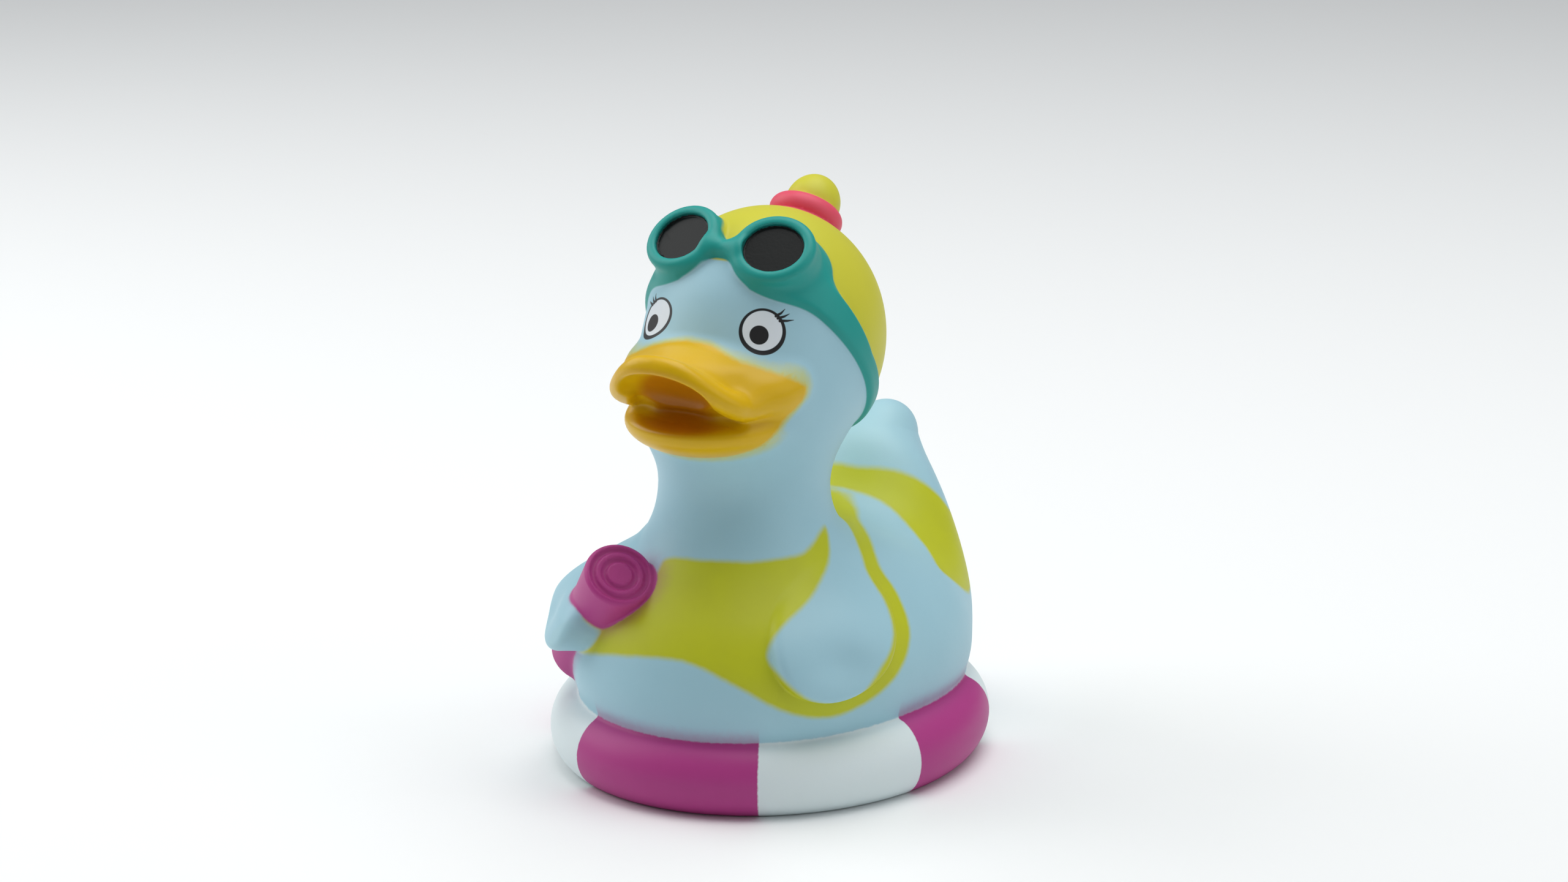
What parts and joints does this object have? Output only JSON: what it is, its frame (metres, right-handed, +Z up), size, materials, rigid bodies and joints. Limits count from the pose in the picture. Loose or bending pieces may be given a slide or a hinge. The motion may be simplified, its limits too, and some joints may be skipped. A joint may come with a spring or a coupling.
{
  "type": "rubber duck",
  "caption": "Hollow soft vinyl bath duck with a life ring base, swimming goggles, a capped head and a rolled towel under one wing.",
  "frame": {"origin": "middle of the bottom of the bounding box, on the plane that the life ring rests on", "axes": "+Z up, -Y the way the bill points, +X to the duck's left"},
  "size_m": [0.0586, 0.0694, 0.079],
  "materials": {
    "vinyl": "satin soft vinyl, light blue, with airbrushed lime, teal, orange, magenta and white fields"
  },
  "bodies": {
    "root": {"duck": "vinyl"}
  },
  "joints": []
}
